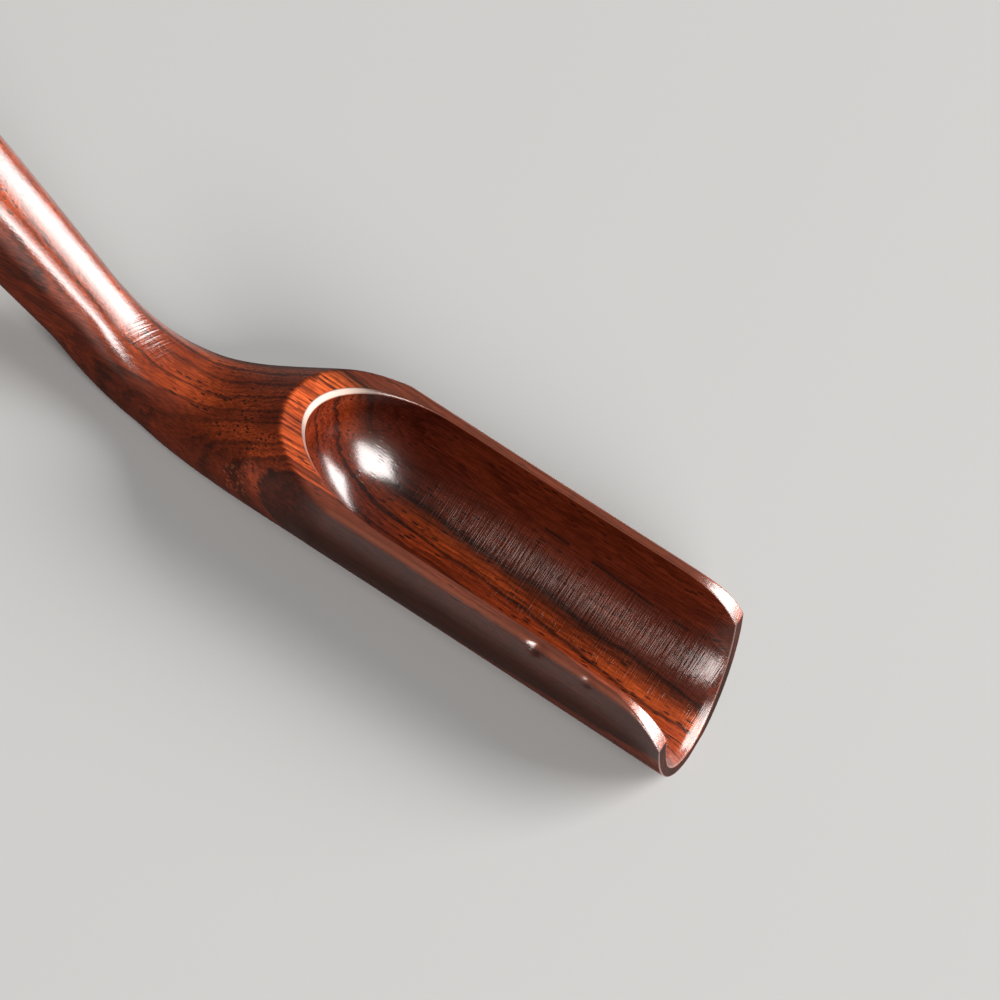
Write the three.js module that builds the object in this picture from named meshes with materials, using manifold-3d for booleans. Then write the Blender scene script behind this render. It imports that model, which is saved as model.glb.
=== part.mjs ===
// Tea scoop carved from one blank of dark rosewood.
// An open trough with a rounded back end runs into a low neck, and the neck bends up into a straight handle.
// Millimetres, +Z up, +X along the trough to its mouth. The flat under the trough and the neck lies on z = 0.

import * as THREE from 'three';
import { ParametricGeometry } from 'three/addons/geometries/ParametricGeometry.js';
import { mergeVertices } from 'three/addons/utils/BufferGeometryUtils.js';
import Module from 'manifold-3d';

// Trough, inside
const troughWidth = 21.0;        // between the rims, where the rounded back end starts
const mouthWidth = 21.5;         // between the rims, at the mouth
const troughDepth = 12.75;       // rim plane down to the floor
const troughLength = 41.8;       // start of the rounded back end to the mouth's upper corners
const backEndLength = 15.5;      // of the rounded back end, along the rim
const bevelWidth = 0.8;          // polished bevel on the rim at the very back

// Trough, walls and mouth
const rimWall = 1.47;            // wall at the rims
const floorWall = 1.3;           // wood under the floor
const widestDrop = 3.0;          // rim plane down to the level where the outside is widest
const cornerRun = 9.4;           // length of the rounded-down front end of each rim
const cornerDrop = 3.3;          // how far the rim comes down there
const lipSlant = 20.0;           // degrees that the mouth leans forward, towards its lower lip
const footCut = 0.15;            // wood dressed off the underside, which leaves a narrow flat

// Shoulder and neck
const shoulderSetback = 7.3;     // start of the back end to the corner where the sides draw in
const crownRise = 6.2;           // height of the uncut blank's crown over the rim plane, at the shoulder
const crownRun = 23.0;           // shoulder back to the lowest point of the neck's saddle
const drawInRun = 39.0;          // shoulder back to where the sides reach the handle's width
const drawInPower = 1.15;        // 1 draws the sides in along straight lines, more hollows them
const neckSquareness = 3.7;      // power of the neck's underside: 2 is round, more is squarer

// Bend and handle
const bendSetback = 32.8;        // start of the back end to the start of the bend
const bendRadius = 25.5;         // of the handle's centre line
const handleRise = 23.0;         // degrees
const handleLength = 66.0;       // from the end of the bend to the handle's end
const handleWidthNeck = 7.3;
const handleWidthEnd = 11.0;
const handleThickNeck = 7.9;
const handleThickEnd = 12.1;
const handleSwellRun = 40.0;     // start of the bend to where the handle has its full size
const handleSwellPower = 1.25;   // 1 swells the handle along straight lines, more rounds them
const handleCrown = 2.8;         // power of the handle's section above: 2 is round, more is squarer
const handleSquareness = 3.5;    // the same below
const handleEndRound = 4.5;      // length of the rounded end

// Facets
const sectionSides = 64;         // round the outside
const grooveSides = 48;          // round the groove
const troughSteps = 10;          // along the outside, from the blank's front to the shoulder
const neckSteps = 32;
const bendSteps = 8;
const handleSteps = 14;
const handleEndSteps = 6;
const backEndSteps = 14;         // along the groove's rounded back end
const grooveSteps = 8;           // along its straight part
const cornerSteps = 10;          // along the rounded-down front end of each rim
const cutMargin = 4.0;           // how far the cutters reach past what they cut
const weldDistance = 1e-5;       // points nearer than this are one point

const rad = THREE.MathUtils.degToRad;
const lerp = THREE.MathUtils.lerp;
const smooth = (t) => THREE.MathUtils.smoothstep(t, 0, 1);
const clamp01 = (t) => THREE.MathUtils.clamp(t, 0, 1);
const power = (value, exponent) => Math.sign(value) * Math.abs(value) ** exponent;

// Levels
const rimHeight = troughDepth + floorWall;
const widestHeight = rimHeight - widestDrop;
const spineHeight = handleThickNeck / 2;

// Half the inside width at the rims, x along the trough
const grooveHalf = (x) => lerp(troughWidth, mouthWidth, clamp01(x / troughLength)) / 2;

// The outside is round and widest below the rims, and has this share of its half width left at the rim plane
const rimShare = Math.sqrt(1 - (widestDrop / (widestDrop + crownRise)) ** 2);
const bodyHalf = (x) => (grooveHalf(x) + rimWall) / rimShare;

// The mouth's face leans forward from its upper corners to the lower lip
const lipSlope = Math.tan(rad(lipSlant));
const blankFront = troughLength + (rimHeight - cornerDrop) * lipSlope + cutMargin;
const blankWidth = 2 * bodyHalf(troughLength) + 2 * cutMargin;

// Stations run back along the centre line: s = 0 where the back end starts, negative towards the mouth
const bendAngle = rad(handleRise);
const bendEnd = bendSetback + bendRadius * bendAngle;
const handleEnd = bendEnd + handleLength;

function spine(s) {
  const turn = THREE.MathUtils.clamp((s - bendSetback) / bendRadius, 0, bendAngle);
  const before = Math.min(s, bendSetback);
  const after = Math.max(s - bendEnd, 0);
  const x = -before - bendRadius * Math.sin(turn) - after * Math.cos(turn);
  const z = spineHeight + bendRadius * (1 - Math.cos(turn)) + after * Math.sin(turn);
  return { x, z, turn };
}

// One section of the uncut blank, square to the centre line, with heights measured from the centre line
function section(s) {
  const back = s - shoulderSetback;
  const drawIn = 1 - (1 - clamp01(back / drawInRun)) ** drawInPower;
  const saddle = smooth(back / crownRun);
  const swell = 1 - (1 - clamp01((s - bendSetback) / handleSwellRun)) ** handleSwellPower;
  const handleHalf = lerp(handleWidthNeck, handleWidthEnd, swell) / 2;
  const handleThick = lerp(handleThickNeck, handleThickEnd, swell) / 2;
  const neckPower = lerp(2, neckSquareness, clamp01(back / crownRun));
  return {
    half: lerp(bodyHalf(-s), handleHalf, drawIn),
    widest: lerp(widestHeight - spineHeight, 0, saddle),
    top: lerp(rimHeight + crownRise - spineHeight, handleThick, saddle),
    bottom: handleThick + footCut,
    upperPower: lerp(2, handleCrown, smooth((back - crownRun) / (drawInRun - crownRun))),
    lowerPower: lerp(neckPower, handleSquareness, smooth((back - crownRun) / crownRun)),
  };
}

// Evenly spaced values from one end up to, but not including, the other
const spread = (from, to, steps) => Array.from({ length: steps }, (_, i) => lerp(from, to, i / steps));

// A loft through closed rings of points: ring(station, angle) gives a point
function loft(stations, sides, ring) {
  const last = stations.length - 1;
  const point = (u, v, target) => {
    const angle = 2 * Math.PI * (Math.round(u * sides) % sides) / sides;
    target.copy(ring(stations[Math.round(v * last)], angle));
  };
  return new ParametricGeometry(point, sides, last);
}

// The blank: the trough's outside, the neck and the handle in one loft, closed flat in front and round behind
function blankGeometry() {
  const roundStart = handleEnd - handleEndRound;
  const whole = (s) => ({ s, size: 1 });
  const rounded = (angle) => ({ s: roundStart + handleEndRound * Math.sin(angle), size: Math.cos(angle) });
  const stations = [
    { s: -blankFront, size: 0 },
    ...spread(-blankFront, shoulderSetback, troughSteps).map(whole),
    ...spread(shoulderSetback, bendSetback, neckSteps).map(whole),
    ...spread(bendSetback, bendEnd, bendSteps).map(whole),
    ...spread(bendEnd, roundStart, handleSteps).map(whole),
    ...spread(0, Math.PI / 2, handleEndSteps).map(rounded),
    { s: handleEnd, size: 0 },
  ];
  return loft(stations, sectionSides, ({ s, size }, angle) => {
    const { x, z, turn } = spine(s);
    const cut = section(s);
    const upper = Math.sin(angle) > 0;
    const exponent = 2 / (upper ? cut.upperPower : cut.lowerPower);
    const reach = upper ? cut.top - cut.widest : cut.bottom + cut.widest;
    const across = -size * cut.half * power(Math.cos(angle), exponent);
    const up = size * (cut.widest + reach * power(Math.sin(angle), exponent));
    const height = z + up * Math.cos(turn);
    return new THREE.Vector3(x + up * Math.sin(turn), across, Math.max(height, 0));
  });
}

// The groove: half-round, with its axis in the rim plane and an ellipsoid for its back end
function grooveGeometry() {
  const front = blankFront + cutMargin;
  const stations = [
    ...spread(-Math.PI / 2, 0, backEndSteps).map((a) => ({ x: backEndLength * Math.sin(a), size: Math.cos(a) })),
    ...spread(0, front, grooveSteps).map((x) => ({ x, size: 1 })),
    { x: front, size: 1 },
    { x: front, size: 0 },
  ];
  return loft(stations, grooveSides, ({ x, size }, angle) => new THREE.Vector3(
    x,
    size * grooveHalf(x) * Math.cos(angle),
    rimHeight + size * troughDepth * Math.sin(angle),
  ));
}

// The bevel: a cone longer than the back end but no wider, so that it fades out where the rims run straight
function bevelGeometry() {
  const reach = backEndLength + bevelWidth;
  const cone = new THREE.CylinderGeometry(reach + bevelWidth, reach - bevelWidth, 2 * bevelWidth, 2 * grooveSides);
  cone.rotateX(Math.PI / 2);
  cone.scale(1, grooveHalf(0) / reach, 1);
  cone.translate(0, 0, rimHeight);
  return cone;
}

// Everything over the rim plane and in front of the neck's saddle is sawn off flat
function crownGeometry() {
  const front = blankFront + cutMargin;
  const length = front + shoulderSetback + crownRun;
  const height = crownRise + cutMargin;
  const crown = new THREE.BoxGeometry(length, blankWidth, height);
  crown.translate(front - length / 2, 0, rimHeight + height / 2);
  return crown;
}

// The front: the rims' rounded corners and the leaning mouth, as one profile cut straight across
function frontGeometry() {
  const start = troughLength - cornerRun;
  const low = rimHeight - cornerDrop;
  const front = blankFront + cutMargin;
  const profile = new THREE.Shape();
  profile.moveTo(start, rimHeight);
  profile.bezierCurveTo(
    start + cornerRun / 3, rimHeight,
    start + 2 * cornerRun / 3, rimHeight - cornerDrop / 6,
    troughLength, low,
  );
  profile.lineTo(troughLength + (low + cutMargin) * lipSlope, -cutMargin);
  profile.lineTo(front, -cutMargin);
  profile.lineTo(front, rimHeight + cutMargin);
  profile.lineTo(start, rimHeight + cutMargin);
  profile.closePath();
  const across = { depth: blankWidth, bevelEnabled: false, curveSegments: cornerSteps };
  const cutter = new THREE.ExtrudeGeometry(profile, across);
  cutter.rotateX(Math.PI / 2);
  cutter.translate(0, blankWidth / 2, 0);
  return cutter;
}

const wasm = await Module();
wasm.setup();

// A closed mesh as a solid: only the positions are kept, and triangles that shrank to a line are left out
function solid(geometry) {
  const bare = geometry.clone();
  bare.deleteAttribute('normal');
  bare.deleteAttribute('uv');
  const merged = mergeVertices(bare, weldDistance);
  const corners = merged.index.array;
  const kept = [];
  for (let i = 0; i < corners.length; i += 3) {
    const [a, b, c] = corners.slice(i, i + 3);
    if (a !== b && b !== c && c !== a) kept.push(a, b, c);
  }
  return new wasm.Manifold(new wasm.Mesh({
    numProp: 3,
    vertProperties: new Float32Array(merged.attributes.position.array),
    triVerts: new Uint32Array(kept),
  }));
}

function geometryOf(manifold) {
  const mesh = manifold.getMesh();
  const geometry = new THREE.BufferGeometry();
  geometry.setAttribute('position', new THREE.BufferAttribute(new Float32Array(mesh.vertProperties), 3));
  geometry.setIndex(new THREE.BufferAttribute(new Uint32Array(mesh.triVerts), 1));
  geometry.computeVertexNormals();
  return geometry;
}

const carved = solid(blankGeometry())
  .subtract(solid(crownGeometry()))
  .subtract(solid(grooveGeometry()))
  .subtract(solid(bevelGeometry()))
  .subtract(solid(frontGeometry()));

const rosewood = new THREE.MeshStandardMaterial({ color: 0x6b2f1c, roughness: 0.3, metalness: 0.0 });
const scoop = new THREE.Mesh(geometryOf(carved), rosewood);
scoop.name = 'scoop_body';

// The origin is under the middle of the scoop's length
scoop.geometry.computeBoundingBox();
const box = scoop.geometry.boundingBox;
scoop.position.x = -(box.min.x + box.max.x) / 2;

const teaScoop = new THREE.Group();
teaScoop.add(scoop);

export default teaScoop;
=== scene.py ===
# %% [markdown]
# # A tea scoop carved from one piece of rosewood
# The real scoop is one piece of dark rosewood: an open trough for dry leaves, a low waisted neck and a
# handle that rises from it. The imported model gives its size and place, and this lesson dresses it: a
# finer surface in the same place, polished rosewood that runs through the whole piece, a plain floor and
# two softboxes.

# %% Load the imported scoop
import math

import bmesh
import bpy
import numpy as np
from mathutils import Matrix, Vector


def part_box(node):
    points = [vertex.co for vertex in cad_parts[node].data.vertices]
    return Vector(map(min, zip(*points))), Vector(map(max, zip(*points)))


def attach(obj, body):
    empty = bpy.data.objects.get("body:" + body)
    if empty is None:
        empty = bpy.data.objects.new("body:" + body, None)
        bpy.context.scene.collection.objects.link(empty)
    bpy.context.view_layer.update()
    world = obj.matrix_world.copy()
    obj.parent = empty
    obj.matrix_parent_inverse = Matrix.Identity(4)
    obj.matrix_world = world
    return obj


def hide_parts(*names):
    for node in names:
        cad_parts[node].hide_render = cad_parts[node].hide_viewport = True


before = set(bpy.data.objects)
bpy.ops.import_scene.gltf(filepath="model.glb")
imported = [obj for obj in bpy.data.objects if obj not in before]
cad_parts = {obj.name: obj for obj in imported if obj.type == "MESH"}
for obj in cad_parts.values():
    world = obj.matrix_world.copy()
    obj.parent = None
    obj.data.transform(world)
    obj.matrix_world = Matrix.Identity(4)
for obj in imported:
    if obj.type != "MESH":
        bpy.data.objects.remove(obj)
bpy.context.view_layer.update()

scoop_low, scoop_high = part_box("scoop_body")
print("the packed scoop, mm:", [round(1000 * (b - a), 1) for a, b in zip(scoop_low, scoop_high)])

# %% [markdown]
# ## The camera
# The scoop is seen from its side, from well above, through a long lens, and the camera is rolled so that
# the scoop runs down across the picture. Three angles, a range and the point that the lens looks at say
# all of that. The camera's three axes are worked out from the angles and become the columns of its
# matrix, which is surer than turning an object three times in the right order.

# %% The camera's axes
view_azimuth = math.radians(0.43)
view_elevation = math.radians(49.27)
view_roll = math.radians(32.54)

toward = Vector((
    math.sin(view_azimuth) * math.cos(view_elevation),
    -math.cos(view_azimuth) * math.cos(view_elevation),
    math.sin(view_elevation),
))
level_right = Vector((math.cos(view_azimuth), math.sin(view_azimuth), 0.0))
level_up = toward.cross(level_right)
right = level_right * math.cos(view_roll) + level_up * math.sin(view_roll)
up = level_up * math.cos(view_roll) - level_right * math.sin(view_roll)
print("from the scoop, the camera lies towards", [round(c, 3) for c in toward])

# %% Place the camera
view_range = 0.8212
view_lens = 244.3
aim = Vector((0.03853, 0.00411, 0.01405))


def add_object(name, data):
    """Puts an object with this data into the scene, at the origin."""
    made = bpy.data.objects.new(name, data)
    bpy.context.scene.collection.objects.link(made)
    return made


lens = bpy.data.cameras.new("camera")
lens.lens = view_lens
lens.sensor_width = 36.0
lens.clip_start = 0.01
lens.clip_end = 20.0
camera = add_object("camera", lens)
turned = Matrix((right, up, toward)).transposed().to_4x4()
camera.matrix_world = Matrix.Translation(aim + view_range * toward) @ turned
bpy.context.scene.camera = camera
bpy.context.scene.view_settings.view_transform = "Standard"
print("camera at", [round(c, 3) for c in camera.matrix_world.translation])

# %% [markdown]
# ## The scoop's sizes
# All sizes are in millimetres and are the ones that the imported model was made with. They are measured
# from the place where the trough's back end starts to round, x = 0, with z = 0 under the scoop. A setback
# is a length from there towards the handle.

# %% Sizes of the trough
trough_width = 21.0
mouth_width = 21.5
trough_depth = 12.75
trough_length = 41.8
back_end_length = 15.5
bevel_width = 0.8
rim_wall = 1.47
floor_wall = 1.3
widest_drop = 3.0
corner_run = 9.4
corner_drop = 3.3
lip_slant = math.radians(20.0)
foot_cut = 0.15

rim_height = trough_depth + floor_wall
corner_height = rim_height - corner_drop
widest_height = rim_height - widest_drop
lip_slope = math.tan(lip_slant)
print("the rims are", rim_height, "mm up, and the front corners", round(corner_height, 2))

# %% Sizes of the neck and the handle
shoulder_setback = 7.3
crown_rise = 6.2
crown_run = 23.0
draw_in_run = 39.0
draw_in_power = 1.15
neck_squareness = 3.7

bend_setback = 32.8
bend_radius = 25.5
handle_rise = math.radians(23.0)
handle_length = 66.0
handle_width_neck = 7.3
handle_width_end = 11.0
handle_thick_neck = 7.9
handle_thick_end = 12.1
handle_swell_run = 40.0
handle_swell_power = 1.25
handle_crown = 2.8
handle_squareness = 3.5
handle_end_round = 4.5

spine_height = handle_thick_neck / 2
rim_share = math.sqrt(1 - (widest_drop / (widest_drop + crown_rise)) ** 2)
bend_end = bend_setback + bend_radius * handle_rise
handle_end = bend_end + handle_length
print("from the lip to the handle's end along the middle, mm:", round(handle_end + trough_length, 1))

# %% [markdown]
# ## The hollow
# The groove is a half-round cut that ends in a quarter of an ellipsoid. It could be cut out with a
# boolean, but then its edges would be ragged rows of small triangles. Here it is worked out as a surface
# of two parameters, so that a grid line runs exactly along each edge. Towards the lip the groove opens a
# little, as it does where sandpaper comes out over the end. Only the half with negative y is made, and
# is mirrored later.

# %% Helpers for surfaces
def lerp(a, b, t):
    """The value that lies the share t of the way from a to b."""
    return a + (b - a) * t


def smooth(t):
    """Eases from 0 to 1: three times t squared, less twice t cubed."""
    t = np.clip(t, 0.0, 1.0)
    return t * t * (3.0 - 2.0 * t)


def place(x, y, z):
    """Points from their three coordinates, each of which may be one value or a whole grid."""
    return np.stack(np.broadcast_arrays(x, y, z), axis=-1)


print("a quarter of the way, an eased step has come to", smooth(0.25))

# %% Levels and widths of the hollow
def rim_level(x):
    """Height of the rim: level, then down to the front corner by half of t squared plus t cubed."""
    t = np.clip((x - trough_length + corner_run) / corner_run, 0.0, 1.0)
    return rim_height - corner_drop * (t**2 + t**3) / 2


def mouth_reach(z):
    """How far forward the leaning mouth is at a height: straight from the corner to the lower lip."""
    return trough_length + (corner_height - z) * lip_slope


def groove_half(x):
    """Half the inside width, opening to the mouth by the square of the way there."""
    return lerp(trough_width, mouth_width, np.clip(x / trough_length, 0.0, 1.0) ** 2) / 2


print("inside width, mm:", 2 * groove_half(0.0), "to", 2 * groove_half(trough_length))

# %% Surface of the hollow
lip_flare = 0.45
lip_flare_run = 6.0
lip_flare_power = 2.5
lip_flare_half_way = 1.6
lip_turn = 0.45
lip_turn_run = 1.3
lip_turn_power = 1.5


def near_lip(gap, run, power):
    """Grows from 0, a run's length before the lip, to 1 at the lip, by a power of the way."""
    return np.clip(1 - gap / run, 0.0, 1.0) ** power


def groove_wall(u, w, inset=0.0):
    """The straight groove: u from the back end to the mouth, w from the rim to the middle of the floor.

    Each section is a quarter ellipse about a centre in the rim plane, and w shares out its angle between
    the rim's level there and the floor. inset stops short of the mouth by that length. Towards the lip
    the ellipse grows: over the flare mostly half way down the wall, and over the last turn mostly at the
    floor.
    """
    corner = math.asin(corner_drop / trough_depth)
    reach = mouth_reach(rim_height - trough_depth * np.sin(lerp(corner, math.pi / 2, w)))
    x = u * (reach - inset)
    angle = lerp(np.arcsin((rim_height - rim_level(x)) / trough_depth), math.pi / 2, w)
    low, half_way = np.sin(angle) ** 2, np.sin(2 * angle) ** 2
    flare = lip_flare * near_lip(reach - x, lip_flare_run, lip_flare_power)
    turn = lip_turn * near_lip(reach - x, lip_turn_run, lip_turn_power)
    grown = flare * (low + lip_flare_half_way * half_way) + turn * low
    across = (groove_half(x) + grown) * np.cos(angle)
    return place(x, -across, rim_height - (trough_depth + grown) * np.sin(angle))


def groove_back(turn, w):
    """The rounded back end, on an ellipsoid: turn runs from the side to the very back, and w from the
    rim to the floor."""
    flat = np.cos(w * math.pi / 2)
    x = -back_end_length * flat * np.sin(turn)
    y = -groove_half(0.0) * flat * np.cos(turn)
    return place(x, y, rim_height - trough_depth * np.sin(w * math.pi / 2))


print("wood left at the lower lip, mm:", round(float(groove_wall(1.0, 1.0)[2]), 2))

# %% [markdown]
# ## The outside
# The outside of the trough, the neck and the handle is one form: a section that changes along a centre
# line. The section is a superellipse, a round form whose power makes it squarer. It is given by the angle
# about its middle, so that the grid stays even. The sections start at the rim and run down to the middle
# of the underside. Behind the trough there is no rim, and they start at the top.

# %% The centre line and the sections
def body_half(x):
    """Half the greatest outside width of the trough: the hollow and its wall, widest below the rim."""
    return (groove_half(x) + rim_wall) / rim_share


def spine(s):
    """The centre line at a setback s: straight, an arc, and straight. Gives x, z and the slope's angle."""
    turn = np.clip((s - bend_setback) / bend_radius, 0.0, handle_rise)
    after = np.maximum(s - bend_end, 0.0)
    x = -np.minimum(s, bend_setback) - bend_radius * np.sin(turn) - after * np.cos(turn)
    z = spine_height + bend_radius * (1 - np.cos(turn)) + after * np.sin(turn)
    return x, z, turn


def section(s):
    """Half width, level of the widest point, reach above and below it, and powers above and below it."""
    back = s - shoulder_setback
    draw_in = 1 - (1 - np.clip(back / draw_in_run, 0.0, 1.0)) ** draw_in_power
    saddle = smooth(back / crown_run)
    along_handle = np.clip((s - bend_setback) / handle_swell_run, 0.0, 1.0)
    swell = 1 - (1 - along_handle) ** handle_swell_power
    handle_half = lerp(handle_width_neck, handle_width_end, swell) / 2
    handle_thick = lerp(handle_thick_neck, handle_thick_end, swell) / 2
    half = lerp(body_half(-s), handle_half, draw_in)
    widest = lerp(widest_height - spine_height, 0.0, saddle)
    top = lerp(rim_height + crown_rise - spine_height, handle_thick, saddle)
    neck_power = lerp(2.0, neck_squareness, np.clip(back / crown_run, 0.0, 1.0))
    upper = lerp(2.0, handle_crown, smooth((back - crown_run) / (draw_in_run - crown_run)))
    lower = lerp(neck_power, handle_squareness, smooth((back - crown_run) / crown_run))
    return half, widest, top - widest, handle_thick + foot_cut + widest, upper, lower


print("outside width, mm:", round(2 * float(body_half(trough_length)), 2))

# %% Surface of the outside
def outside(s, angle, size=1.0):
    """A point of the outside: its distance r from the section's middle follows
    (cos / half) ** power + (sin / reach) ** power = r ** -power, and nothing goes below z = 0."""
    half, widest, rise, fall, upper, lower = section(s)
    reach = np.where(angle > 0, rise, fall)
    power = np.where(angle > 0, upper, lower)
    wide, high = np.abs(np.cos(angle) / half), np.abs(np.sin(angle) / reach)
    r = (wide**power + high**power) ** (-1 / power)
    x, z, turn = spine(s)
    height = size * (widest + r * np.sin(angle))
    across = -size * r * np.cos(angle)
    return place(x + height * np.sin(turn), across, np.maximum(z + height * np.cos(turn), 0.0))


def edge_angle(s, level):
    """The angle at which the section at s meets a level plane, or a right angle if it stays below it."""
    half, widest, rise, fall, upper, lower = section(s)
    height = level - spine_height - widest
    share = np.clip(np.where(height > 0, height / rise, -height / fall), 0.0, 1.0)
    power = np.where(height > 0, upper, lower)
    return np.arctan2(height, half * (1 - share**power) ** (1 / power))


print("the neck's top at the bend, mm:", round(float(outside(bend_setback, math.pi / 2)[2]), 2))

# %% [markdown]
# ## The edges
# A worked edge on wood is never quite sharp: a rim is rounded over, the crease behind the hollow is
# crisp, and the back of the hollow has a bevel. A bevel modifier could round them, but these edges change
# in width from point to point. So each edge is left out of the two surfaces that meet there by its own
# small amount, and the gap is closed by a strip whose points lie on a quadratic curve towards the true
# edge.

# %% How much each edge is rounded
inner_round = 0.2
rim_round = 0.6
lip_round = 0.13
crease_round = 0.35
crease_start = 7.0
crease_fade = 10.0


def at_front(x):
    """Eases from 0 where the rim starts to go down to 1 at the front corner."""
    return smooth((x - trough_length + corner_run) / corner_run)


def outer_drop(x):
    """How far below the edge the outside starts: most along the rims, little at lip and crease."""
    behind = smooth((-x - crease_start) / crease_fade)
    return lerp(lerp(rim_round, lip_round, at_front(x)), crease_round, behind)


def bevel_at(turn):
    """Width of the bevel: full at the very back, fading with the square of the sine towards the rims."""
    return lerp(inner_round, bevel_width, np.sin(turn) ** 2)


print("the outside starts below the rim by, mm:", outer_drop(0.0))

# %% The outside up to its edges
def outside_wall(u, w, drop=0.0, inset=0.0):
    """The outside in front of the back end: u from there to the mouth, w from the edge to the underside.

    drop is the share of the rounding that is left out at the edge, and inset stops short of the mouth.
    """
    corner = edge_angle(-trough_length, corner_height - drop * outer_drop(trough_length))
    mouth = outside(np.asarray(-trough_length), lerp(corner, -math.pi / 2, w))
    x = u * (mouth_reach(mouth[..., 2]) - inset)
    start = edge_angle(-x, rim_level(x) - drop * outer_drop(x))
    return outside(-x, lerp(start, -math.pi / 2, w))


def outside_back(s, w, drop=0.0, size=1.0):
    """The outside behind that: s is the setback, w runs from the edge, or the top, to the underside."""
    start = edge_angle(np.minimum(s, bend_setback), rim_height - drop * outer_drop(-s))
    return outside(s, lerp(start, -math.pi / 2, w), size)


def crease_end(drop):
    """Setback of the crease's rearmost point, where the neck's top comes up to the rim plane. The top is
    an eased slope, and a third of an arcsine turns its easing round."""
    level = rim_height - drop * crease_round
    share = (rim_height + crown_rise - level) / (rim_height + crown_rise - handle_thick_neck)
    return shoulder_setback + crown_run * (0.5 - math.sin(math.asin(1 - 2 * share) / 3))


flat_length = crease_end(0.0) - back_end_length
print("the flat behind the hollow is", round(flat_length, 2), "mm long in the middle")

# %% [markdown]
# ## Grids
# A grid is only as good as the places of its lines. Even steps would waste most of them on plain wood.
# These crowd together beside the edges, where the light turns over in a fraction of a millimetre, and
# spread out where the wood is plain.

# %% Stations along the scoop and rows across it
row_steps, row_crowding = 56, 1.5
wall_steps, wall_crowding = 140, 1.2
shoulder_count, crease_count = 15, 32
neck_count, bend_count, handle_count, round_count = 37, 19, 81, 17

rows = (np.arange(row_steps + 1) / row_steps) ** row_crowding
along = 1 - (np.arange(wall_steps + 1) / wall_steps) ** wall_crowding
turns = np.linspace(0.0, math.pi / 2, shoulder_count + crease_count)
shoulder_steps = np.linspace(0.0, shoulder_setback, shoulder_count)
crease_steps = np.sin(np.linspace(0.0, math.pi / 2, crease_count + 1)[1:])


def back_stations(drop):
    """Setbacks along the rim's end and the crease, one for each turn of the hollow's back end."""
    return np.concatenate([shoulder_steps, lerp(shoulder_setback, crease_end(drop), crease_steps)])


round_start = handle_end - handle_end_round
round_turn = np.linspace(0.0, math.pi / 2, round_count)[1:]
behind = np.concatenate([
    np.linspace(crease_end(1.0), bend_setback, neck_count),
    np.linspace(bend_setback, bend_end, bend_count)[1:],
    np.linspace(bend_end, round_start, handle_count)[1:],
    round_start + handle_end_round * np.sin(round_turn),
])
behind_size = np.concatenate([np.ones(len(behind) - len(round_turn)), np.cos(round_turn)])
print(len(rows), "rows,", len(along) + len(turns) + len(behind), "stations")

# %% [markdown]
# ## Surfaces and strips
# The half scoop is five grids and three strips. Each of them also carries five numbers for its points,
# which the wood reads later: how far the point is inside the hollow, on a rubbed edge, which also gets a
# painted highlight, on the planed flat behind the hollow, where a number below 0 puts painted shade on
# the lip's end face, and on the bevel, and how much polish it took, which where it is low also darkens
# the wood as painted shade. Masks drawn as images could say the same, but the grids know it already.

# %% The large grids
patches = []
numbers_carried = ("hollow", "rubbed_and_highlight", "planed_and_lip_shade", "bevel", "polish")


def add_patch(points, hollow=0.0, rubbed_and_highlight=0.0, planed_and_lip_shade=0.0, bevel=0.0, polish=1.0):
    """Keeps a grid of points with its five numbers, each of them one value or a grid of values."""
    given = (hollow, rubbed_and_highlight, planed_and_lip_shade, bevel, polish)
    numbers = [np.broadcast_to(number, points.shape[:2]).reshape(-1) for number in given]
    patches.append((points, np.stack(numbers, axis=-1)))


wall_start = math.asin(inner_round / trough_depth) / (math.pi / 2)
wall_rows = lerp(wall_start, 1.0, rows)
back_start = np.arcsin(bevel_at(turns) / trough_depth) / (math.pi / 2)
back_rows = lerp(back_start[:, None], 1.0, rows[None, :])

hollow_wall = groove_wall(along[:, None], wall_rows[None, :], lip_round)
hollow_back = groove_back(turns[:, None], back_rows)
outer_wall = outside_wall(along[:, None], rows[None, :], 1.0, lip_round)
outer_back = outside_back(back_stations(1.0)[:, None], rows[None, :], 1.0)
handle = outside_back(behind[:, None], rows[None, :], 1.0, behind_size[:, None])

# the polish number sets the coat, and where it is low the wood also gets painted shade
wall_shine, wall_fade = 0.4, 0.2
handle_fade_start, handle_fade = 0.28, 0.16
wall_polish_and_shade = lerp(wall_shine, 0.0, smooth(rows / wall_fade))[None, :]
handle_polish_and_shade = lerp(1.0, 0.0, smooth((rows - handle_fade_start) / handle_fade))[None, :]
behind_rim = smooth((back_stations(1.0) - crease_start) / crease_fade)[:, None]

add_patch(hollow_wall, hollow=1.0)
add_patch(hollow_back, hollow=1.0)
add_patch(outer_wall, polish=wall_polish_and_shade)
add_patch(outer_back, polish=lerp(wall_polish_and_shade, handle_polish_and_shade, behind_rim))
add_patch(handle, polish=handle_polish_and_shade)
print("points in the grids:", sum(len(numbers) for _, numbers in patches))

# %% A strip along an edge
curve = np.linspace(0.0, 1.0, 6)[:, None]
flat_steps = np.array([0.03, 0.2, 0.5, 0.8, 0.97])[:, None]


def edge_strip(start, corner, end, roundness=1.0):
    """Points from start to end on a quadratic curve towards corner. A roundness below 1 flattens it."""
    t = curve[:, :, None]
    return lerp(start, end, t) + roundness * 2 * t * (1 - t) * (corner - (start + end) / 2)


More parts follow.
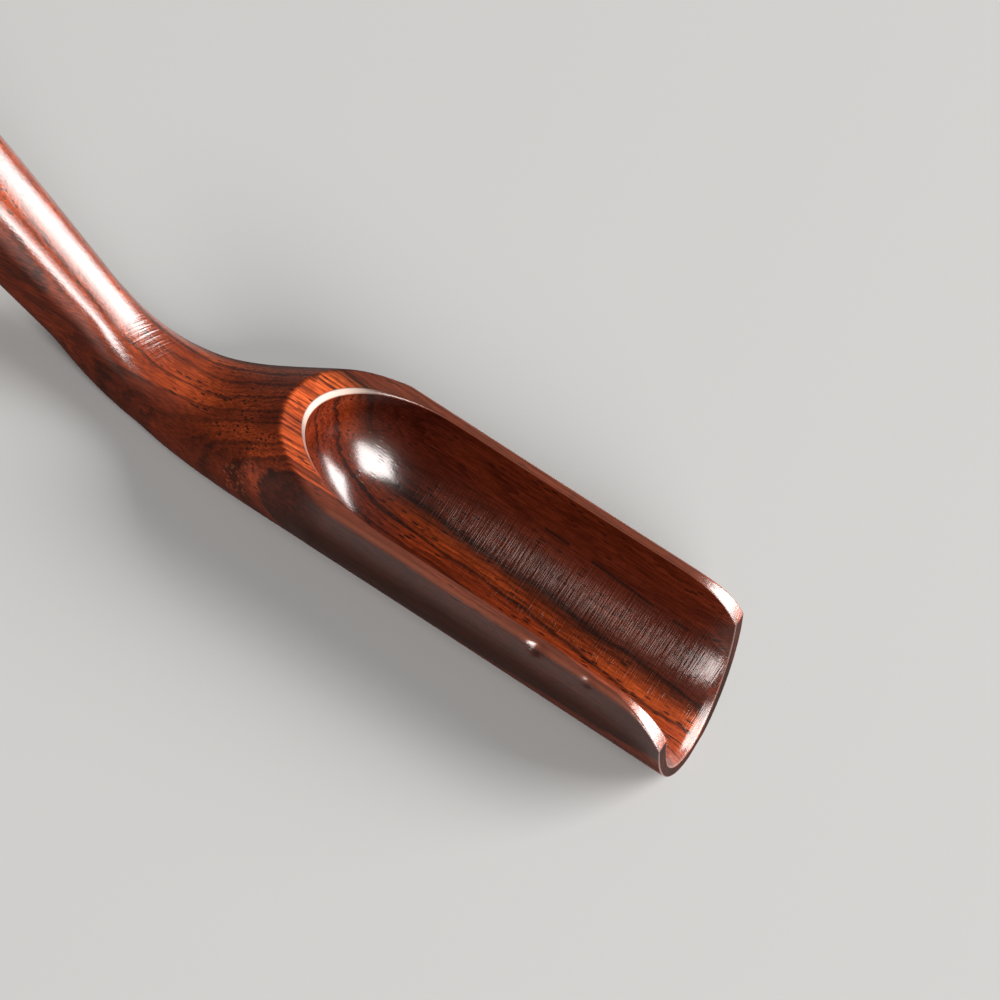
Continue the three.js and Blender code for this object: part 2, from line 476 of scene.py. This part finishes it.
def add_rim(inner, inner_edge, outer_edge, outer, inner_width, outer_width,
            outward=None, flatness=0.0, planed_and_lip_shade=0.0, pale=0.0, polish=1.0):
    """One stretch of the rim's top between the hollow and the outside, with both of its edges rounded.

    The top starts and ends these widths inside its edges. flatness turns the rounded inner edge into a
    bevel, pale says how bare that is, the planed number how light the top is left, and below 0 how much
    painted shade the lip's end face gets, and polish how much it shines; where polish is low the wood
    also gets painted shade.
    """
    inner_width, outer_width, flatness = [
        np.broadcast_to(value, len(inner))[:, None] for value in (inner_width, outer_width, flatness)]
    across = outer_edge - inner_edge
    across = across / np.linalg.norm(across, axis=-1, keepdims=True)
    inner_top = inner_edge + inner_width * (across if outward is None else outward)
    outer_top = outer_edge - outer_width * across
    strip = np.concatenate([
        edge_strip(inner, inner_edge, inner_top, 1 - flatness),
        lerp(inner_top, outer_top, flat_steps[:, :, None]),
        edge_strip(outer_top, outer_edge, outer),
    ])
    bulge = np.sin(curve * math.pi)
    no_edge, no_top = 0 * curve, 0 * flat_steps
    rubbed_and_highlight = np.concatenate([bulge, no_top, bulge])
    top = np.concatenate([no_edge, no_top + 1, 0.5 * (1 + np.cos(curve * math.pi))])
    bare = np.concatenate([np.minimum(3 * bulge, 1), no_top, no_edge])
    dull_and_shaded = np.concatenate([no_edge, no_top + 1, no_edge]) * (1 - polish)
    add_patch(strip, rubbed_and_highlight=rubbed_and_highlight, planed_and_lip_shade=top * planed_and_lip_shade, bevel=bare * pale, polish=1 - dull_and_shaded)


print("points across a strip:", 2 * len(curve) + len(flat_steps))

# %% The strips along the lip, the rim and the back end
rim_planed = 0.7
# the lip's end face: end grain is partly darker on its own and partly darkened as painted shade
end_grain_and_shade = -0.6
add_rim(hollow_wall[0], groove_wall(1.0, rows), outside_wall(1.0, rows), outer_wall[0],
        lip_round, lip_round, planed_and_lip_shade=end_grain_and_shade, polish=0.0)

rim_x = along * trough_length
add_rim(hollow_wall[:, 0], groove_wall(along, 0.0), outside_wall(along, 0.0), outer_wall[:, 0],
        lerp(inner_round, lip_round, at_front(rim_x)), outer_drop(rim_x), planed_and_lip_shade=rim_planed)

bevel_flatness = 0.75
flat_start, flat_fade = math.radians(40.0), math.radians(35.0)
bare_start, bare_fade = math.radians(35.0), math.radians(30.0)
crease = outside_back(back_stations(0.0), 0.0)
outward = place(-np.sin(turns) / back_end_length, -np.cos(turns) / groove_half(0.0), 0.0)
outward = outward / np.linalg.norm(outward, axis=-1, keepdims=True)
add_rim(hollow_back[:, 0], groove_back(turns, 0.0), crease, outer_back[:, 0],
        bevel_at(turns), outer_drop(-back_stations(0.0)), outward,
        flatness=bevel_flatness * np.sin(turns) ** 2,
        planed_and_lip_shade=lerp(rim_planed, 1.0, smooth((turns - flat_start) / flat_fade)),
        pale=smooth((turns - bare_start) / bare_fade))
print("patches in the half scoop:", len(patches))

# %% [markdown]
# ## One closed mesh
# The half is mirrored, and points that lie at the same place become one point. Modifiers could mirror and
# weld too, but on arrays each step can be counted, and the numbers that the points carry are averaged on
# the way. What was a row of points at a pole becomes a single point there, so some four-sided faces turn
# into triangles, and faces with fewer than three points are dropped. Two nicks, where a rim was knocked,
# push the wood in by a bell-shaped amount.

# %% Mirror the half, and nick the rim
def grid_faces(count, width, first):
    """Corner numbers of a grid's four-sided faces, whose points are numbered from first, row by row."""
    number = first + np.arange(count * width).reshape(count, width)
    around = [number[:-1, :-1], number[1:, :-1], number[1:, 1:], number[:-1, 1:]]
    return np.stack(around, axis=-1).reshape(-1, 4)


points = np.concatenate([grid.reshape(-1, 3) for grid, _ in patches])
numbers = np.concatenate([values for _, values in patches])
firsts = np.cumsum([0] + [len(values) for _, values in patches])
faces = np.concatenate([
    grid_faces(*grid.shape[:2], first) for (grid, _), first in zip(patches, firsts)])
faces = np.concatenate([faces, faces[:, ::-1] + len(points)])
points = np.concatenate([points, points * [1, -1, 1]])

nicks = [((22.6, -12.2, 13.7), 1.0, 0.42), ((30.0, -12.3, 13.6), 0.8, 0.2)]
inward_and_down = np.array([0.0, 0.8, -0.6])
for middle, radius, depth in nicks:
    nearness = np.exp(-np.sum((points - middle) ** 2, axis=1) / radius**2)
    points = points + depth * nearness[:, None] * inward_and_down
print(len(points), "points and", len(faces), "faces before welding")

# %% Weld the points
weld_digits = 5
places, number = np.unique(np.round(points, weld_digits) + 0.0, axis=0, return_inverse=True)
number = number.reshape(-1)
faces = number[faces]
shared = np.bincount(number)[:, None]
sums = [np.bincount(number, np.tile(column, 2)) for column in numbers.T]
numbers_at = np.stack(sums, axis=-1) / shared

same_as_next = faces == np.roll(faces, -1, axis=1)
whole = ~same_as_next.any(axis=1)
pinched = same_as_next.sum(axis=1) == 1
kept = ~same_as_next[pinched]
corners = faces[whole].tolist() + faces[pinched][kept].reshape(-1, 3).tolist()
print(len(places), "points and", len(corners), "faces after welding")

# %% Build the mesh
mm = 0.001
shift = scoop_high[0] - mm * mouth_reach(0.0)
mesh = bpy.data.meshes.new("carved_scoop")
mesh.from_pydata(np.clip(places * mm + [shift, 0.0, 0.0], scoop_low, scoop_high), [], corners)
for name, values in zip(numbers_carried, numbers_at.T):
    carrier = mesh.attributes.new(name, "FLOAT", "POINT")
    carrier.data.foreach_set("value", np.ascontiguousarray(values))

work = bmesh.new()
work.from_mesh(mesh)
bmesh.ops.recalc_face_normals(work, faces=work.faces)
open_edges = sum(not edge.is_manifold for edge in work.edges)
volume = work.calc_volume(signed=True) / mm**3
work.to_mesh(mesh)
work.free()
mesh.shade_smooth()
scoop = add_object("carved_scoop", mesh)
print("the closed scoop has", open_edges, "open edges and", round(volume), "mm3 of wood")

# %% [markdown]
# ## Rosewood
# The figure of rosewood isn't painted on: it runs through the piece, and every cut shows another part of
# it. So the wood is worked out in space, from Object coordinates in millimetres. Growth layers stand
# upright along the scoop, which gives straight lines on the neck and in the hollow and pointed loops on
# the sides. Fibres and pores run along x, so they are long on the walls and short where a surface slopes
# across them.

# %% Helpers for nodes
rosewood = bpy.data.materials.new("rosewood")
rosewood.use_nodes = True
tree = rosewood.node_tree
wood = tree.nodes["Principled BSDF"]


def node(kind, sockets, **settings):
    """Adds a node. A socket takes a number or colour, or another node's output, which is then linked."""
    made = tree.nodes.new(kind)
    for name, value in settings.items():
        setattr(made, name, value)
    for key, value in sockets.items():
        if isinstance(value, bpy.types.NodeSocket):
            tree.links.new(value, made.inputs[key])
        else:
            made.inputs[key].default_value = value
    return made


def calc(operation, a, b=0.0, c=0.0):
    """One step of arithmetic on two or three values."""
    return node("ShaderNodeMath", {0: a, 1: b, 2: c}, operation=operation).outputs[0]


def times(first, *others):
    """The product of several values."""
    for other in others:
        first = calc("MULTIPLY", first, other)
    return first


def less(value, amount=1.0):
    """1 where a value is 0, and smaller by this amount where it is 1."""
    return calc("MULTIPLY_ADD", value, -amount, 1.0)


def span(value, low, high, to_low=0.0, to_high=1.0):
    """Carries the values between low and high over to another range, eased at both ends."""
    return node("ShaderNodeMapRange", {
        "Value": value, "From Min": low, "From Max": high, "To Min": to_low, "To Max": to_high},
        interpolation_type="SMOOTHSTEP").outputs[0]


def blend(share, a, b, how="MIX"):
    """Mixes two colours."""
    return node("ShaderNodeMix", {0: share, 6: a, 7: b},
                data_type="RGBA", blend_type=how, clamp_result=False).outputs[2]


print("a new material has", len(tree.nodes), "nodes")

# %% Where a point of the wood lies
def carried(name):
    """A number that the mesh carries for each of its points."""
    return node("ShaderNodeAttribute", {}, attribute_name=name).outputs["Fac"]


place_mm = node("ShaderNodeMapping", {
    "Vector": node("ShaderNodeTexCoord", {}).outputs["Object"],
    "Location": (-shift / mm, 0.0, 0.0),
    "Scale": (1 / mm, 1 / mm, 1 / mm),
}).outputs[0]
along_x, across_y, up_z = node("ShaderNodeSeparateXYZ", {0: place_mm}).outputs
# rubbed edges also get a painted highlight, the planed number below 0 is painted shade on the lip's end
# face, and a low polish number is painted shade too
in_hollow, on_edge_wear_and_highlight, planed_top_and_lip_shade, on_bevel, polish_and_shade = [carried(name) for name in numbers_carried]
print("x = 0 of the sizes lies", round(shift / mm, 2), "mm from the scene's origin")

# %% Patterns in space
def stretch(vector, lengths):
    """Divides a place by a length in each direction, so that a pattern of size 1 gets these lengths."""
    factors = tuple(1 / length for length in lengths)
    return node("ShaderNodeVectorMath", {0: vector, 1: factors}, operation="MULTIPLY").outputs[0]


def noise(lengths, detail=2.0, roughness=0.5, where=None):
    """Noise about a half, whose lumps have these lengths along x, y and z, in millimetres."""
    vector = stretch(place_mm if where is None else where, lengths)
    return node("ShaderNodeTexNoise", {
        "Vector": vector, "Scale": 1.0, "Detail": detail, "Roughness": roughness}).outputs["Fac"]


def about_zero(value):
    """Takes the half off a noise, so that it goes up and down from 0."""
    return calc("SUBTRACT", value, 0.5)


def pores(lengths, size):
    """Long rounded cells along x: 1 inside a pore, 0 between them."""
    cell = node("ShaderNodeTexVoronoi", {
        "Vector": stretch(place_mm, lengths), "Scale": 1.0, "Randomness": 1.0}).outputs["Distance"]
    return span(cell, size, 0.6 * size)


print("numbers that the wood reads:", ", ".join(numbers_carried))

# %% [markdown]
# ### Growth layers
# The layer number is the distance across the board in millimetres, leaning a little and bowed along the
# board, with a slow waver and a fine wobble. A wave texture would make even stripes of it. A ramp of
# colours gives each strong growth line its own place and strength: dark and sharp on one side, fading on
# the other. Between the strong lines there are fine ones, which come and go.

# %% Growth layers across the board
bow_height = 1.2
bow_length = 110.0
bow_start = -35.5
layer_lean = 0.16
waver_height = 2.4
wobble_height = 1.3

bow_turn = calc("MULTIPLY", calc("SUBTRACT", along_x, bow_start), 2 * math.pi / bow_length)
straight = calc("MULTIPLY_ADD", calc("SINE", bow_turn), -bow_height, across_y)
leaning = calc("MULTIPLY_ADD", up_z, -layer_lean, straight)
waver, wobble = about_zero(noise((24, 7, 7), 1.0)), about_zero(noise((4.5, 0.9, 0.9), 3.0, 0.6))
layer = calc("MULTIPLY_ADD", waver, waver_height, leaning)
layer = calc("MULTIPLY_ADD", wobble, wobble_height, layer)

ring_pitch = 0.8
ring = span(calc("FRACT", calc("DIVIDE", layer, ring_pitch)), 0.35, 1.0)
rings = times(ring, span(noise((30, 2.2, 2.2)), 0.4, 0.62))
print("fine rings lie", ring_pitch, "mm apart")

# %% Colours of the layers
amber = (0.36, 0.054, 0.009, 1.0)
brown = (0.38, 0.052, 0.010, 1.0)
cedar = (0.27, 0.037, 0.009, 1.0)
chestnut = (0.085, 0.0125, 0.0043, 1.0)
umber = (0.03, 0.005, 0.002, 1.0)
bark_side = (0.07, 0.010, 0.004, 1.0)
ink = (0.012, 0.004, 0.003, 1.0)

board_half = 15.0
line_width = 0.3
# for each strong line: its layer, how far it fades, its share of ink and the colour after it
growth_lines = [
    (-12.8, 0.5, 0.4, cedar), (-11.5, 0.5, 0.6, brown), (-9.9, 0.5, 0.6, brown),
    (-7.4, 0.5, 0.45, cedar), (-5.6, 0.4, 0.5, brown), (-3.3, 0.5, 0.65, brown),
    (-0.9, 0.6, 0.65, brown), (1.7, 0.7, 0.9, amber), (4.8, 2.0, 0.97, chestnut),
    (10.2, 0.8, 0.6, cedar),
]


def toward_ink(colour, share):
    """A colour with a share of ink in it."""
    return tuple(lerp(np.array(colour), np.array(ink), share))


ramp = node("ShaderNodeValToRGB", {0: calc("MULTIPLY_ADD", layer, 0.5 / board_half, 0.5)})
stops = ramp.color_ramp.elements
stops[0].color = bark_side
before = bark_side
for line, fade, share, after in growth_lines:
    for offset, colour in ((-fade, before), (0.0, toward_ink(before, share)), (line_width, after)):
        stops.new(0.5 + 0.5 * (line + offset) / board_half).color = colour
    before = after
stops[len(stops) - 1].color = umber
figure = ramp.outputs["Color"]
print("strong growth lines:", len(growth_lines), "ramp stops:", len(stops))

# %% [markdown]
# ### Fibres and pores
# Fibres are fine streaks of lighter and darker wood. Pores are open vessels, cut along their length:
# short dark dashes everywhere, and a few long thin ones. An image of dashes would stretch where a surface
# turns. Cells of a Voronoi pattern, pulled out along x, are the same from every side. Four long vessels
# in one wall of the hollow are laid one by one, each along a straight course.

# %% Fibres and pores
fibre = noise((5, 0.2, 0.2), 3.0, 0.65)
fleck = noise((1.3, 0.3, 0.3), 2.0, 0.6)
blotch = noise((14, 3, 3), 2.0)
short_pores = times(pores((2.2, 0.55, 0.55), 0.3), span(blotch, 0.42, 0.55))
long_pores = times(pores((34, 1.9, 1.9), 0.1), span(noise((40, 4, 4)), 0.45, 0.6))
open_pores = calc("MAXIMUM", short_pores, long_pores)

# for each vessel: where it starts and ends along x, and its heights there
vessels = [
    (15.4, 19.7, 8.15, 8.0), (22.4, 32.3, 7.85, 7.23), (34.6, 37.7, 7.06, 7.04), (40.0, 41.6, 7.53, 7.8)]
vessel_edge, vessel_core = 0.24, 0.13
vessel_taper = 0.6
far_wall = times(span(across_y, 5.0, 6.0), in_hollow)
for start, end, start_z, end_z in vessels:
    slope = (end_z - start_z) / (end - start)
    course = calc("MULTIPLY_ADD", along_x, slope, start_z - start * slope)
    aside = calc("ABSOLUTE", calc("SUBTRACT", up_z, course))
    ends = times(span(along_x, start, start + vessel_taper), span(along_x, end, end - vessel_taper))
    vessel = times(ends, span(aside, vessel_edge, vessel_core), far_wall)
    open_pores = calc("MAXIMUM", open_pores, vessel)
print("long vessels laid:", len(vessels))

# %% [markdown]
# ### Finish
# The hollow is sanded across the grain and polished with oil. Its back end is painted darker and cooler,
# as painted shade in that recess. The flat behind it is planed and stays lighter. The end grain at the lip
# is darker, partly because end grain drinks oil and partly as painted shade. Where the polish number is
# low, on the outer walls, the underside, low on the handle's sides and on the lip's end face, the colour
# is painted darker as shade, most of all on the side with negative y. Rims and edges are rubbed lighter,
# partly as wear where hands and caddies touch them and partly as a painted highlight along the edges. One
# side of the neck has a scuff that is lighter, partly as worn wood and partly as a painted glint, and the
# bevel round the back of the hollow is bare pale wood. The numbers that the mesh carries say where each of
# these goes, so no mask has to be drawn as an image.

# %% Finish: colour and painted shade
# painted shade: the hollow's back end is multiplied darker and cooler, as the shade in that recess
back_painted_shade = (0.55, 0.50, 0.60, 1.0)
back_shade_share = times(in_hollow, span(along_x, 8.0, -6.0))
figure_with_back_shade = blend(back_shade_share, figure, back_painted_shade, "MULTIPLY")

ring_depth, planed_ring_extra = 0.5, 0.3
planed_light = 1.25
# how dark the painted shade is where the polish number is low: on the side with negative y, and on the
# other
underside_shade_near, underside_shade_far = 0.68, 0.3
streaks = times(
    span(fibre, 0.3, 0.7, 0.65, 1.3), span(blotch, 0.3, 0.7, 0.75, 1.25), span(fleck, 0.3, 0.7, 0.8, 1.2))
ringed = less(times(rings, calc("MULTIPLY_ADD", planed_top_and_lip_shade, planed_ring_extra, ring_depth)))
# planed tops are lighter; below 0, on the lip's end face, it darkens the colour as painted shade
planed_and_lip_shade = calc("MULTIPLY_ADD", planed_top_and_lip_shade, planed_light, 1.0)
# painted shade: darker where the polish number is low, more on the side with negative y
painted_underside_shade = less(times(less(polish_and_shade), span(across_y, 0.0, 6.0, underside_shade_near, underside_shade_far)))
shade = times(streaks, ringed, planed_and_lip_shade, painted_underside_shade)

green_power, blue_power = 1.15, 1.25
tint = node("ShaderNodeCombineXYZ", {
    0: shade, 1: calc("POWER", shade, green_power), 2: calc("POWER", shade, blue_power)}).outputs[0]
streaked = blend(1.0, figure_with_back_shade, tint, "MULTIPLY")
pore_ink = 0.88
pored = blend(times(open_pores, pore_ink), streaked, ink)
print("nodes for the wood itself:", len(tree.nodes))

# %% Finish: wear, a painted edge highlight and a painted glint
# tan of rubbed wood, also standing in for a painted highlight along edges and rims
rubbed_tan_and_highlight = (0.43, 0.12, 0.058, 1.0)
cream = (0.84, 0.74, 0.64, 1.0)
scuff_place = (-19.0, -9.6, 6.4)
scuff_reach, scuff_core = 2.9, 1.2
edge_wear_and_highlight, scuff_wear_and_glint, rim_share_of_wear_and_highlight = 0.45, 0.45, 0.6
bare_near, bare_far = 0.25, 0.85

# the scuff on the neck turns lighter: partly worn wood, partly a painted glint
scuff_distance = node(
    "ShaderNodeVectorMath", {0: place_mm, 1: scuff_place}, operation="DISTANCE").outputs["Value"]
scuffs_and_glints = times(
    span(scuff_distance, scuff_reach, scuff_core), span(noise((0.6, 0.35, 0.35)), 0.55, 0.65))
# edges and rims in front of the flat turn tan: partly wear, partly a painted highlight
wear_and_highlight = calc("MAXIMUM", on_edge_wear_and_highlight, times(planed_top_and_lip_shade, rim_share_of_wear_and_highlight))
wear_and_highlight = times(wear_and_highlight, span(along_x, -15.0, -5.0, 0.0, edge_wear_and_highlight))
rubbed_and_highlight = blend(calc("MAXIMUM", wear_and_highlight, times(scuffs_and_glints, scuff_wear_and_glint)), pored, rubbed_tan_and_highlight)
bare = times(on_bevel, span(across_y, -5.0, 1.0, bare_near, bare_far))
finished = blend(bare, rubbed_and_highlight, cream)
print("nodes with the wear:", len(tree.nodes))

# %% [markdown]
# ### Relief
# Sandpaper was drawn across the hollow, and each fine scratch sends the light another way, so that a
# highlight is drawn out along the trough. A few slanted strokes are left at the bend. On the outside the
# fibres stand up a little, and pores and scuffs lie deep. All of it is a few hundredths of a millimetre,
# too little to change an outline, and so it is a bump and not part of the mesh.

# %% Finish: scratches and strokes
sanding = times(
    in_hollow, span(along_x, -4.0, 4.0, 0.1, 1.0), span(along_x, 42.0, 36.0, 0.6, 1.0))
scratched = times(
    sanding, span(along_x, 0.0, 15.0, 0.35, 1.0), span(across_y, -1.0, 3.0, 0.04, 1.0),
    span(up_z, 8.5, 5.5, 0.3, 1.0))
scratches = times(about_zero(noise((0.17, 5, 5), 2.0, 0.6)), scratched)

stroke_slant = 0.4
slanted = node("ShaderNodeCombineXYZ", {
    0: calc("MULTIPLY_ADD", across_y, -stroke_slant, along_x), 1: across_y, 2: up_z}).outputs[0]
at_bend = times(
    span(along_x, -42.0, -39.0), span(along_x, -33.0, -35.0), span(across_y, -3.0, -1.5))
strokes = times(about_zero(noise((0.4, 9, 9), 1.0, where=slanted)), at_bend)
print("strokes at the bend slant by", round(math.degrees(math.atan(stroke_slant))), "degrees")

# %% Finish: relief
fibre_height, fibre_sanded = 0.45, 0.35
scratch_height = 1.35
pore_depth = 0.08
scuff_depth = 0.15
fine_scale, wave_scale = 0.07 * mm, 0.05 * mm

fibre_left = calc("MULTIPLY_ADD", in_hollow, -fibre_sanded, fibre_height)
relief = calc("MULTIPLY_ADD", fibre, fibre_left, strokes)
relief = calc("MULTIPLY_ADD", scratches, scratch_height, relief)
relief = calc("MULTIPLY_ADD", open_pores, -pore_depth, relief)
relief = calc("MULTIPLY_ADD", scuffs_and_glints, -scuff_depth, relief)
fine = node("ShaderNodeBump", {"Height": relief, "Distance": fine_scale, "Strength": 1.0}).outputs[0]
waves = node("ShaderNodeBump", {
    "Height": noise((5, 3, 3), 1.0), "Distance": wave_scale, "Strength": 1.0, "Normal": fine}).outputs[0]
tree.links.new(waves, wood.inputs["Normal"])
tree.links.new(waves, wood.inputs["Coat Normal"])
print("nodes with the relief:", len(tree.nodes))

# %% [markdown]
# ### Gloss
# Gloss comes from a coat of polish over the wood. One roughness for the whole scoop would be simpler, but
# then it would look cast. The coat is full on the handle's top and at the back of the hollow, and thin
# where the wood was sanded last, on the neck, on the outer walls, on the underside and high up the
# hollow's walls. One half of the handle's top is rubbed dull by the thumb. The wood under the coat shines
# too, with a warm tint, because that light has passed through its fibres.

# %% Finish: how rough the wood is
neck_dulling = 0.9
polish_smooths = 0.43
hollow_smooth, sanding_roughens = 0.2, 0.13

neck = times(span(along_x, -36.0, -26.0), span(along_x, -6.0, -12.0))
bright = times(polish_and_shade, less(times(neck, less(in_hollow)), neck_dulling))
outside_rough = calc("MULTIPLY_ADD", bright, -polish_smooths, span(fibre, 0.3, 0.7, 0.85, 0.75))
hollow_rough = calc("MULTIPLY_ADD", sanding, sanding_roughens, hollow_smooth)
rough = node("ShaderNodeMix", {0: in_hollow, 2: outside_rough, 3: hollow_rough}).outputs[0]
print("roughness in the hollow:", hollow_smooth, "to", round(hollow_smooth + sanding_roughens, 2))

# %% Finish: the coat of polish
sanding_dulling = 0.92
wall_dulling = 0.8
thumb_dulling = 0.6
top_half, top_widening = 2.1, 0.046

high_wall = times(in_hollow, span(up_z, 6.5, 8.5))
on_top = calc("DIVIDE", across_y, calc("MULTIPLY_ADD", along_x, -top_widening, top_half))
thumbed = times(
    span(on_top, 0.05, -0.45), span(on_top, -0.84, -0.72), span(along_x, -34.0, -40.0))
coat = times(
    bright, less(sanding, sanding_dulling), less(high_wall, wall_dulling), less(thumbed, thumb_dulling))

tree.links.new(finished, wood.inputs["Base Color"])
tree.links.new(rough, wood.inputs["Roughness"])
tree.links.new(coat, wood.inputs["Coat Weight"])
wood.inputs["Specular IOR Level"].default_value = 0.42
wood.inputs["Specular Tint"].default_value = (1.0, 0.62, 0.50, 1.0)
wood.inputs["Coat IOR"].default_value = 2.0
wood.inputs["Coat Roughness"].default_value = 0.17
mesh.materials.append(rosewood)

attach(scoop, "root")
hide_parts("scoop_body")
print("rosewood has", len(tree.nodes), "nodes")

# %% [markdown]
# ## Floor and light
# The floor is plain and pale, so that the scoop's own colours are read against it. Two softboxes stand on
# the side of the mouth, a large one beyond the scoop and a smaller one before it. Small lamps would give
# hard points of light. A polished surface is a mirror for the softboxes: each long highlight on the
# handle and each round one in the hollow is one of them, and that is how their places were found. They
# stand well off, so that the floor is lit evenly, and a weak light from all round fills the shadows.

# %% A pale floor
floor_half = 6.0
floor_corners = [(floor_half * x, floor_half * y, 0.0) for x, y in ((-1, -1), (1, -1), (1, 1), (-1, 1))]
floor_mesh = bpy.data.meshes.new("floor")
floor_mesh.from_pydata(floor_corners, [], [(0, 1, 2, 3)])
floor = add_object("floor", floor_mesh)
pale = bpy.data.materials.new("pale_floor")
pale.use_nodes = True
pale_surface = pale.node_tree.nodes["Principled BSDF"]
pale_surface.inputs["Base Color"].default_value = (0.60, 0.59, 0.575, 1.0)
pale_surface.inputs["Roughness"].default_value = 0.9
floor_mesh.materials.append(pale)
print("the floor is", 2 * floor_half, "m wide")

# %% Soft light
lit_point = Vector((0.03, 0.0, 0.01))
lamp_range = 3.0


def softbox(name, direction, size, power):
    """A rectangular softbox in a direction from the scoop's middle, turned to face it."""
    light = bpy.data.lights.new(name, "AREA")
    light.shape = "RECTANGLE"
    light.size, light.size_y = size
    light.energy = power
    lamp = add_object(name, light)
    away = Vector(direction).normalized()
    lamp.location = lit_point + lamp_range * away
    lamp.rotation_euler = away.to_track_quat("Z", "Y").to_euler()
    print(name, "stands at", [round(c, 2) for c in lamp.location])


softbox("far_softbox", (0.70, 0.52, 0.485), (2.19, 1.80), 119.7)
softbox("near_softbox", (0.58, -0.63, 0.515), (1.56, 1.65), 77.4)

world = bpy.data.worlds.new("studio")
bpy.context.scene.world = world
world.use_nodes = True
background = world.node_tree.nodes["Background"]
background.inputs["Color"].default_value = (1.0, 1.0, 1.0, 1.0)
background.inputs["Strength"].default_value = 0.07
